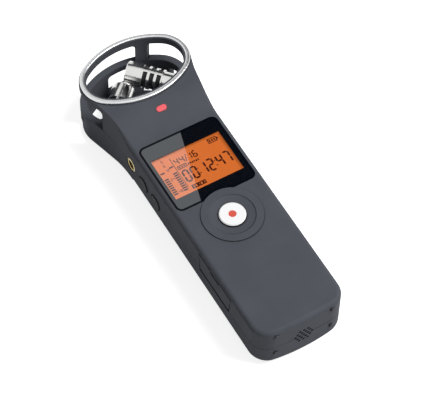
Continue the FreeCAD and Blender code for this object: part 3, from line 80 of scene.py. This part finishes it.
class Maker:
    """A node material on one Principled shader, with short ways to add the usual parts."""

    def __init__(self, name, colour, roughness, **sockets):
        self.material = bpy.data.materials.new(name)
        self.material.use_nodes = True
        self.tree = self.material.node_tree
        self.tree.nodes.clear()
        self.out = self.add("ShaderNodeOutputMaterial")
        self.shader = self.add("ShaderNodeBsdfPrincipled")
        self.link(self.shader.outputs[0], self.out.inputs[0])
        self.colour, self.roughness = (*colour, 1), roughness
        self.shader.inputs["Base Color"].default_value = self.colour
        self.shader.inputs["Roughness"].default_value = roughness
        for key, value in sockets.items():
            self.shader.inputs[key.replace("_", " ")].default_value = value
        places = self.add("ShaderNodeTexCoord")
        self.where = places.outputs["Object"]
        self.share = places.outputs["Generated"]        # from 0 to 1 across the piece's own box

    def add(self, kind, **values):
        node = self.tree.nodes.new(kind)
        for key, value in values.items():
            setattr(node, key, value)
        return node

    def link(self, source, target):
        self.tree.links.new(source, target)

    def feed(self, sockets, items):
        """Links each item that is an output, and sets the others as constants."""
        for socket, item in zip(sockets, items):
            if isinstance(item, bpy.types.NodeSocket):
                self.link(item, socket)
            else:
                socket.default_value = item

    def set(self, socket, source):
        self.link(source, self.shader.inputs[socket])

    def value(self, operation, *items):
        node = self.add("ShaderNodeMath", operation=operation)
        self.feed(node.inputs, items)
        return node.outputs[0]

    def span(self, source, low, high, to_low, to_high):
        node = self.add("ShaderNodeMapRange")
        self.feed(node.inputs, (source, low, high, to_low, to_high))
        return node.outputs[0]

    def mix(self, share, first, second):
        node = self.add("ShaderNodeMix", data_type="RGBA")
        self.feed((node.inputs[0], node.inputs[6], node.inputs[7]), (share, first, second))
        return node.outputs[2]

    def noise(self, scale, detail=2.0):
        node = self.add("ShaderNodeTexNoise")
        node.inputs["Scale"].default_value = scale
        node.inputs["Detail"].default_value = detail
        self.link(self.where, node.inputs["Vector"])
        return node.outputs["Fac"]

    def spread(self, noise, to_low, to_high):
        """A noise texture, stretched between two values."""
        return self.span(noise, NOISE_LOW, NOISE_HIGH, to_low, to_high)

    def along(self, axis, where=None):
        """The coordinate along one axis."""
        parts = self.add("ShaderNodeSeparateXYZ")
        self.link(self.where if where is None else where, parts.inputs[0])
        return parts.outputs[axis]

    def off(self, axis, place, where=None):
        """The distance from a place along one axis."""
        return self.value("ABSOLUTE", self.value("SUBTRACT", self.along(axis, where), place))

    def hypotenuse(self, first, second):
        squares = (self.value("POWER", side, 2.0) for side in (first, second))
        return self.value("SQRT", self.value("ADD", *squares))

    def distance(self, point):
        """The distance from a point in space."""
        node = self.add("ShaderNodeVectorMath", operation="DISTANCE")
        self.feed(node.inputs, (self.where, point))
        return node.outputs["Value"]

    def emit(self, colour):
        self.feed([self.shader.inputs["Emission Color"]], [colour])
        self.shader.inputs["Emission Strength"].default_value = 1.0

    def bump(self, height, depth, strength=1.0):
        """A bump on top of any that the shader has already."""
        node = self.add("ShaderNodeBump")
        node.inputs["Strength"].default_value = strength
        node.inputs["Distance"].default_value = depth
        self.link(height, node.inputs["Height"])
        for link in self.shader.inputs["Normal"].links:
            self.link(link.from_socket, node.inputs["Normal"])
        self.set("Normal", node.outputs[0])

    def patchy(self, amount=0.06, scale=90.0, painted_shade_reach=0.0):
        """Slow changes of colour and gloss, with painted shade that goes to black deep in gaps up to the
        given width.
        """
        cloud = self.noise(scale, detail=3.0)
        dark, light = ((*(c * change for c in self.colour[:3]), 1) for change in (1 - amount, 1 + amount))
        colour = self.mix(self.spread(cloud, 0, 1), dark, light)
        if painted_shade_reach:
            # painted shade: the base colour goes to black where little open sky is seen
            sky = self.add("ShaderNodeAmbientOcclusion", samples=8)
            sky.inputs["Distance"].default_value = painted_shade_reach
            colour = self.mix(self.span(sky.outputs["AO"], GAP_SHUT, GAP_OPEN, 0, 1), PAINTED_GAP_SHADE, colour)
        self.set("Base Color", colour)
        smooth, rough = self.roughness - GLOSS_CHANGE, self.roughness + GLOSS_CHANGE
        self.set("Roughness", self.spread(cloud, smooth, rough))


def moulded(name, colour, roughness, grain=5200.0, depth=0.02 * MM, painted_shade_reach=0.0, **sockets):
    """Moulded plastic with a fine spark-eroded grain."""
    made = Maker(name, colour, roughness, **sockets)
    made.patchy(painted_shade_reach=painted_shade_reach)
    made.bump(made.noise(grain, detail=2.5), depth, strength=0.35)
    return made


def metal(name, colour, roughness, grain=900.0, depth=0.004 * MM):
    """Metal with a faint even grain in its gloss and its surface."""
    made = Maker(name, colour, roughness, Metallic=1.0)
    grained = made.noise(grain)
    made.set("Roughness", made.spread(grained, roughness * 0.8, roughness * 1.2))
    made.bump(grained, depth, strength=0.4)
    return made


def housing():
    """Moulded casing, with a crisp edge to the dish round the record button."""
    # painted shade darkens the casing in gaps up to 1.2 mm wide
    made = moulded("housing_plastic", (0.077, 0.083, 0.097), 0.62, painted_shade_reach=1.2 * MM, Specular_IOR_Level=0.08)
    foot, edge, depth = DISH_R - 0.3 * MM, DISH_R + 0.05 * MM, 0.3 * MM
    made.bump(made.span(made.distance(DIAL_AT), foot, edge, 0, 1), depth)
    return made


def key_plastic(name):
    """Plastic of the keys and sliders, darker than the casing."""
    # painted shade darkens the keys and sliders in gaps up to 2.2 mm wide
    return moulded(name, (0.045, 0.048, 0.055), 0.5, painted_shade_reach=2.2 * MM, Specular_IOR_Level=0.1)


def volume_key():
    """Round key, with painted shade in a dark ring where its face rolls down into the gap round it."""
    made = key_plastic("volume_key")
    middle, face_r, painted_shade_r = 0.5, 0.32, 0.38            # shares of the key's box
    away = made.hypotenuse(made.off(1, middle, made.share), made.off(2, middle, made.share))
    face = made.shader.inputs["Base Color"].links[0].from_socket
    # painted shade: near black in a ring at the key's edge
    edge = made.span(away, face_r, painted_shade_r, 0, 1)
    made.set("Base Color", made.mix(edge, face, (0.004, 0.004, 0.005, 1)))
    return made


def white_cap():
    """White face, with painted shade on its side wall below the face."""
    made = moulded("white_plastic", (0.95, 0.95, 0.95), 0.28, grain=2500.0, depth=0.004 * MM)
    painted_shade_top, face_foot = CAP_TOP - 0.55 * MM, CAP_TOP - 0.4 * MM
    # painted shade: near black below the face, on the cap's side wall
    face = made.span(made.along(2), painted_shade_top, face_foot, 0, 1)
    made.set("Base Color", made.mix(face, (0.01, 0.01, 0.01, 1), made.colour))
    return made


def plated_ring():
    """Gold plate, rounded across the jacks' rings, with painted shade darkening them at their outer edge."""
    made = metal("gold_plate", (0.94, 0.76, 0.36), 0.16)
    painted_shade_from_r, painted_shade_r = JACK_R - 0.35 * MM, JACK_R - 0.2 * MM
    crown_r, half_width, rise = JACK_R - 0.8 * MM, 0.5 * MM, 0.25 * MM
    away = made.hypotenuse(made.off(1, JACK_Y), made.off(2, JACK_Z))
    # painted shade: the ring's outer edge goes near black
    edge = made.span(away, painted_shade_from_r, painted_shade_r, 0, 1)
    made.set("Base Color", made.mix(edge, made.colour, (0.01, 0.01, 0.01, 1)))
    aside = made.value("ABSOLUTE", made.value("SUBTRACT", away, crown_r))
    made.bump(made.span(aside, 0, half_width, 1, 0), rise)
    return made


def outline_band(made, width):
    """One along the display window's edge, with its round corners and its notch round the dial."""
    half, middle = (GLASS_HIGH - GLASS_LOW) / 2, (GLASS_LOW + GLASS_HIGH) / 2
    beyond = []
    for axis in (0, 1):
        past = made.value("SUBTRACT", made.off(axis, middle[axis]), half[axis] - GLASS_CORNER)
        beyond.append(made.value("MAXIMUM", past, 0.0))
    edge = made.value("GREATER_THAN", made.hypotenuse(*beyond), GLASS_CORNER - width)
    notch = made.value("LESS_THAN", made.distance(DIAL_AT), DIAL_R + width)
    return made.value("MAXIMUM", edge, notch)


def display_glass():
    """Clear in the middle, with a black border printed behind, and painted shade along the edge, where the
    reflection is tinted near black.
    """
    made = Maker("display_glass", (0.002, 0.003, 0.006), 0.03, IOR=1.78, Specular_IOR_Level=0.9)
    inside = (made.value("LESS_THAN", made.off(axis, CLEAR_AT[axis]), size / 2)
              for axis, size in ((0, CLEAR_W), (1, CLEAR_L)))
    clear = made.value("MULTIPLY", *inside)
    made.set("Base Color", made.mix(clear, made.colour, WHITE))
    made.set("Transmission Weight", clear)
    # painted shade: the reflection's tint is near black in a band along the window's edge
    painted_edge_shade = outline_band(made, width=0.75 * MM)
    made.set("Specular Tint", made.mix(painted_edge_shade, (0.9, 0.95, 1, 1), (0.04, 0.04, 0.04, 1)))
    smear_low, smear_high, most = 0.3, 0.8, 0.02
    made.set("Roughness", made.span(made.noise(120.0), smear_low, smear_high, 0.0, most))
    return made


def lit_display():
    """Orange backlight, in the shade of the window's border at its right and top edges."""
    made = Maker("lit_display", (0.02, 0.004, 0.001), 0.1)
    shades = []
    for axis, size, reach, least in ((0, CLEAR_W, 1.5 * MM, 0.45), (1, CLEAR_L, 1.1 * MM, 0.55)):
        edge = CLEAR_AT[axis] + size / 2
        shades.append(made.span(made.along(axis), edge - reach, edge, 1.0, least))
    cells = made.spread(made.noise(3000.0, detail=1.0), 0.97, 1.03)
    glow = made.value("MULTIPLY", made.value("MINIMUM", *shades), cells)
    made.emit(made.mix(glow, BLACK, (0.76, 0.175, 0.03, 1)))
    return made


def display_ink():
    """Dark segments, with a little of the backlight through them."""
    made = Maker("display_ink", (0.03, 0.008, 0.004), 0.5, Specular_IOR_Level=0.05)
    made.emit((0.05, 0.007, 0.003, 1))
    cells = made.noise(4000.0, detail=1.0)
    made.set("Base Color", made.mix(cells, (0.05, 0.012, 0.005, 1), (0.02, 0.006, 0.003, 1)))
    return made


def lit_lens():
    """Red light guide, paler at its middle where the lamp sits behind."""
    made = Maker("red_lens", (0.6, 0.06, 0.07), 0.25)
    lamp_r, rim_r = 0.2 * MM, 1.6 * MM
    rim = made.span(made.distance(middle_of("led_lens")), lamp_r, rim_r, 0, 1)
    made.emit(made.mix(rim, (0.6, 0.36, 0.37, 1), (0.25, 0.03, 0.04, 1)))
    made.bump(made.noise(1500.0), 0.01 * MM, strength=0.3)
    return made


def banded_cell():
    """The AA cell's sleeve: a dark band, and a pale band towards the head."""
    made = Maker("cell_sleeve", (0.05, 0.055, 0.065), 0.3, Metallic=0.6)
    pale_from = 0.72                                    # share of the cell's length
    low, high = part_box("aa_battery")
    share = made.span(made.along(1), low.y, high.y, 0, 1)
    pale = made.value("GREATER_THAN", share, pale_from)
    made.set("Base Color", made.mix(pale, made.colour, (0.6, 0.42, 0.2, 1)))
    made.set("Roughness", made.spread(made.noise(400.0), 0.25, 0.36))
    return made


def board():
    """Green solder mask over faint copper runs."""
    made = Maker("solder_mask", (0.02, 0.13, 0.05), 0.35)
    runs = made.add("ShaderNodeTexBrick")
    made.link(made.where, runs.inputs["Vector"])
    runs.inputs["Scale"].default_value = 420.0
    runs.inputs["Mortar Size"].default_value = 0.03
    made.set("Base Color", made.mix(runs.outputs["Fac"], made.colour, (0.05, 0.24, 0.09, 1)))
    made.bump(runs.outputs["Fac"], 0.03 * MM, strength=0.5)
    return made


FINISH = {
    "housing": housing(),
    "rim": metal("satin_silver", (0.88, 0.89, 0.9), 0.28, grain=4000.0, depth=0.0006 * MM),
    "window": display_glass(),
    "lcd": lit_display(),
    "diffuser": moulded("light_guide", (0.8, 0.8, 0.76), 0.4),
    "red_lens": lit_lens(),
    "white_button": white_cap(),
    "red_mark": moulded("red_ink", (0.72, 0.1, 0.07), 0.4),
    "button": key_plastic("button_plastic"),
    "circuit_board": board(),
    "component": moulded("black_component", (0.02, 0.02, 0.022), 0.45, Specular_IOR_Level=0.2),
    "gold": plated_ring(),
    "steel": metal("plain_steel", (0.62, 0.62, 0.63), 0.3),
    "chrome": metal("bright_chrome", (0.92, 0.92, 0.9), 0.2),
    "black_screw": metal("black_zinc", (0.05, 0.05, 0.055), 0.35),
    "cell": banded_cell(),
    "card": moulded("card_plastic", (0.02, 0.02, 0.022), 0.4),
    "rubber": moulded("soft_rubber", (0.02, 0.02, 0.02), 0.7),
}
OWN_FINISH = dict.fromkeys(("volume_up_button", "volume_down_button"), volume_key())
SLOT_OF = {entry["node"]: entry["material_slot"] for entry in frame["record"]["subparts"]}
for name, node in nodes.items():
    finish = OWN_FINISH.get(name, FINISH[SLOT_OF[name]])
    node.data.materials.clear()
    node.data.materials.append(finish.material)


# ---------------------------------------------------------------- display marks

# Places and sizes of the marks are in mm, from the middle of the window's clear part.
INK_LOW, INK_HIGH = LCD_HIGH.z + 0.02 * MM, LCD_HIGH.z + 0.06 * MM
SEGMENTS = {
    "0": "abcdef", "1": "bc", "2": "abged", "3": "abgcd", "4": "fgbc",
    "5": "afgcd", "6": "afgedc", "7": "abc", "8": "abcdefg", "9": "abcdfg",
}
LARGE = {"w": 2.65, "h": 5.7, "thick": 0.72, "pitch": 3.15}
MIDDLE = {"w": 1.75, "h": 3.1, "thick": 0.46, "pitch": 2.2}
SMALL = {"w": 0.72, "h": 1.25, "thick": 0.17, "pitch": 0.95}
drawn = bmesh.new()


def stroke(corners):
    """A flat plate with these corners."""
    base = Vector((CLEAR_AT.x, CLEAR_AT.y, 0))
    low, high = ([drawn.verts.new(base + Vector((x * MM, y * MM, z))) for x, y in corners]
                 for z in (INK_LOW, INK_HIGH))
    drawn.faces.new(high)
    drawn.faces.new(reversed(low))
    for i in range(len(corners)):
        j = (i + 1) % len(corners)
        drawn.faces.new((low[i], low[j], high[j], high[i]))


def bar(x, y, w, h):
    stroke([(x, y), (x + w, y), (x + w, y + h), (x, y + h)])


def lozenge(x0, y0, x1, y1, thick):
    """A segment with pointed ends between two joints of a digit."""
    half, gap = thick / 2, thick * 0.34
    tip, shoulder = gap - half / 2, gap + half / 2
    if abs(x1 - x0) > abs(y1 - y0):
        stroke([(x0 + tip, y0), (x0 + shoulder, y0 - half), (x1 - shoulder, y1 - half),
                (x1 - tip, y1), (x1 - shoulder, y1 + half), (x0 + shoulder, y0 + half)])
    else:
        stroke([(x0, y0 + tip), (x0 + half, y0 + shoulder), (x1 + half, y1 - shoulder),
                (x1, y1 - tip), (x1 - half, y1 - shoulder), (x0 - half, y0 + shoulder)])


def digit(mark, x, y, w, h, thick):
    """A seven-segment digit, its lower left corner at x, y."""
    half = thick / 2
    left, right, low, mid, high = x + half, x + w - half, y + half, y + h / 2, y + h - half
    places = {"a": (left, high, right, high), "b": (right, mid, right, high), "c": (right, low, right, mid),
              "d": (left, low, right, low), "e": (left, low, left, mid), "f": (left, mid, left, high),
              "g": (left, mid, right, mid)}
    for segment in SEGMENTS[mark]:
        lozenge(*places[segment], thick)


def number(text, x, y, w, h, thick, pitch):
    """Digits in a row, the first one's lower left corner at x, y."""
    for place, mark in enumerate(text):
        digit(mark, x + place * pitch, y, w, h, thick)


def bars(count, x, y, w, h, pitch):
    for place in range(count):
        bar(x + place * pitch, y, w, h)


def running_time():
    """Hours, minutes and seconds in large digits, with colons between."""
    low, dot = -4.9, 0.42
    for text, x in (("00", -6.7), ("12", 0.1), ("47", 6.95)):
        number(text, x, low, **LARGE)
    for x in (-0.62, 6.22):
        for y in (-3.5, -1.3):
            bar(x, y, dot, dot)


def sound_format():
    """Two numbers and a stroke between them, over a framed mark and a row of small ones."""
    line, lean = 0.3, 0.9
    foot, top = 3.55, 3.55 + MIDDLE["h"]
    for text, x in (("44", -6.7), ("16", -1.4)):
        number(text, x, foot, **MIDDLE)
    x = -2.55
    stroke([(x, foot), (x + line, foot), (x + line + lean, top), (x + lean, top)])
    left, low = -6.85, 1.55
    for y in (low, 2.85):
        bar(left, y, 3.75, line)
    for x in (left, -3.4):
        bar(x, low + line, line, 1.0)
    bars(3, -6.3, 2.1, 0.65, 0.5, pitch=0.95)
    bars(3, -2.6, low + line, 0.55, 0.75, pitch=1.56)
    bars(3, -1.82, low + line + 0.1, 0.55, 0.75, pitch=1.56)


def mode_mark():
    """Bars of several widths between two lines, under the time."""
    left, low, line, pitch = -6.3, -8.1, 0.35, 1.05
    for y in (low, -6.75):
        bar(left, y, 5.8, line)
    for place, w in enumerate((0.7, 0.5, 0.9, 0.5, 0.8, 0.45)):
        bar(left + place * pitch, low + line, w, 1.0)


def level_meter():
    """Two columns of level bars under a held peak, a scale between them and a line beside."""
    low, w, h = -7.4, 1.7, 0.66
    for x, lit in ((-13.6, 8), (-9.55, 9)):
        for step in (*range(lit), lit + 2):
            bar(x, low + step, w, h)
    one_digit, two_digits = -11.0, -11.45
    for text, y in (("0", 6.9), ("6", 4.9), ("12", 2.8), ("24", -1.6), ("48", low)):
        number(text, one_digit if len(text) == 1 else two_digits, y, **SMALL)
    bar(-7.6, -6.6, 0.24, 14.2)


def battery_sign():
    """The outline of a cell with its tip, and three bars of charge."""
    left, low, line = 8.35, 6.1, 0.32
    for y in (low, 7.95):
        bar(left, y, 3.7, line)
    for x in (left, 11.75):
        bar(x, low + line, line, 1.53)
    bar(12.07, 6.75, 0.5, 0.85)
    bars(3, 8.9, 6.7, 0.6, 0.95, pitch=0.95)


def piece(name, mesh, finish, body):
    """A new object from a bmesh, riding on a CAD body."""
    data = bpy.data.meshes.new(name)
    bmesh.ops.recalc_face_normals(mesh, faces=mesh.faces)
    mesh.to_mesh(data)
    mesh.free()
    made = bpy.data.objects.new(name, data)
    bpy.context.scene.collection.objects.link(made)
    data.materials.append(finish.material)
    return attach(made, body)


running_time()
sound_format()
mode_mark()
level_meter()
battery_sign()
ink = display_ink()
piece("display_segments", drawn, ink, "housing")


# ---------------------------------------------------------------- camera, floor and light

def photo_camera():
    """Sets the camera to the viewing angle and framing of the picture, and gives back its place."""
    azimuth, elevation, roll = (math.radians(angle) for angle in (-31.2, 56.6, 1.44))
    back = Vector((math.sin(azimuth) * math.cos(elevation), -math.cos(azimuth) * math.cos(elevation),
                   math.sin(elevation)))
    level = Vector((math.cos(azimuth), math.sin(azimuth), 0))
    upright = back.cross(level)
    right = math.cos(roll) * level + math.sin(roll) * upright
    up = math.cos(roll) * upright - math.sin(roll) * level
    target = Vector((0, -7.825 * MM, GLASS_HIGH.z))
    aside, below, distance = 2.46 * MM, 3.6 * MM, 777.6 * MM
    place = target + back * distance - right * aside - up * below
    data = bpy.data.cameras.new("camera")
    data.sensor_width, data.lens = 36.0, 185.8
    data.clip_start, data.clip_end = 0.01, 20
    camera = bpy.data.objects.new("camera", data)
    camera.matrix_world = Matrix.Translation(place) @ Matrix((right, up, back)).transposed().to_4x4()
    bpy.context.scene.collection.objects.link(camera)
    bpy.context.scene.camera = camera
    return place


def plain_floor():
    """A pale floor under the head and the bottom end, white where the camera sees it and clear from below."""
    body_end, head_start, clearance = -60 * MM, 30 * MM, 0.1 * MM
    seen_glow, bounced_glow = 0.8, 0.4
    points = [v.co for name in ("rear_shell", "battery_cover") for v in nodes[name].data.vertices]
    tail = min((p for p in points if p.y < body_end), key=lambda p: p.z)
    slope = min((p.z - tail.z) / (p.y - tail.y) for p in points if p.y > head_start)
    bpy.ops.mesh.primitive_plane_add(size=8, location=(0, 0, tail.z - slope * tail.y - clearance))
    floor = bpy.context.object
    floor.name = "floor"
    floor.rotation_euler = (math.atan(slope), 0, 0)
    made = Maker("floor_paint", (0.72, 0.72, 0.72), 0.9)
    made.patchy(amount=0.01, scale=3.0)
    sight = made.add("ShaderNodeLightPath").outputs
    bounced = made.value("MAXIMUM", sight["Is Transmission Ray"], sight["Is Glossy Ray"])
    strength = made.value("MULTIPLY_ADD", sight["Is Camera Ray"], seen_glow,
                          made.value("MULTIPLY", bounced, bounced_glow))
    glow = made.add("ShaderNodeEmission")
    made.link(strength, glow.inputs["Strength"])
    both = made.add("ShaderNodeAddShader")
    made.feed(both.inputs, (made.shader.outputs[0], glow.outputs[0]))
    clear = made.add("ShaderNodeBsdfTransparent")
    from_below = made.add("ShaderNodeNewGeometry").outputs["Backfacing"]
    choose = made.add("ShaderNodeMixShader")
    made.feed(choose.inputs, (from_below, both.outputs[0], clear.outputs[0]))
    made.link(choose.outputs[0], made.out.inputs[0])
    floor.data.materials.append(made.material)


def dark_flag(eye):
    """A black card over the recorder that the glass reflects right of a slanting line."""
    line_mm = ((1.5, 22.0), (-6.7, -7.1))               # two points of the line on the glass
    height, margin, width = 0.5, 0.5, Vector((1.2, 0, 0))
    edge = [Vector((x * MM, y * MM, GLASS_HIGH.z)) for x, y in line_mm]
    mirrored = Vector((eye.x, eye.y, 2 * GLASS_HIGH.z - eye.z))
    reach = (height - mirrored.z) / (GLASS_HIGH.z - mirrored.z)
    far, near = (mirrored + (point - mirrored) * reach for point in edge)
    beyond = (far - near).normalized() * margin
    far, near = far + beyond, near - beyond
    data = bpy.data.meshes.new("dark_flag")
    data.from_pydata([near, near + width, far + width, far], [], [(0, 1, 2, 3)])
    flag = bpy.data.objects.new("dark_flag", data)
    bpy.context.scene.collection.objects.link(flag)
    made = Maker("flag_cloth", (0.004, 0.004, 0.004), 0.9)
    made.patchy(amount=0.02, scale=20.0)
    data.materials.append(made.material)
    for sight in ("camera", "diffuse", "shadow", "volume_scatter"):
        setattr(flag, "visible_" + sight, False)


def studio():
    """A white surround for what is seen, mirrored or looked through, and a soft light for the rest."""
    world = bpy.data.worlds.new("studio")
    bpy.context.scene.world = world
    world.use_nodes = True
    tree = world.node_tree
    tree.nodes.clear()
    sight = tree.nodes.new("ShaderNodeLightPath").outputs
    seen = sight["Is Camera Ray"]
    for kind in ("Is Glossy Ray", "Is Transmission Ray"):
        either = tree.nodes.new("ShaderNodeMath")
        either.operation = "MAXIMUM"
        tree.links.new(seen, either.inputs[0])
        tree.links.new(sight[kind], either.inputs[1])
        seen = either.outputs[0]
    choose = tree.nodes.new("ShaderNodeMixShader")
    tree.links.new(seen, choose.inputs[0])
    soft, white = 0.25, 1.0
    for socket, strength in ((1, soft), (2, white)):
        light = tree.nodes.new("ShaderNodeBackground")
        light.inputs["Strength"].default_value = strength
        tree.links.new(light.outputs[0], choose.inputs[socket])
    out = tree.nodes.new("ShaderNodeOutputWorld")
    tree.links.new(choose.outputs[0], out.inputs[0])


def key_light():
    """A soft square lamp above, to the right and towards the bottom end."""
    place, aim = Vector((0.5, -0.3, 0.9)), Vector((0, 0, 0.02))
    data = bpy.data.lights.new("key", "AREA")
    data.size = 0.5
    data.energy = 11.5
    lamp = bpy.data.objects.new("key", data)
    lamp.location = place
    lamp.rotation_euler = (aim - place).to_track_quat("-Z", "Y").to_euler()
    bpy.context.scene.collection.objects.link(lamp)


dark_flag(photo_camera())
plain_floor()
studio()
key_light()
bpy.context.scene.view_settings.view_transform = "Standard"
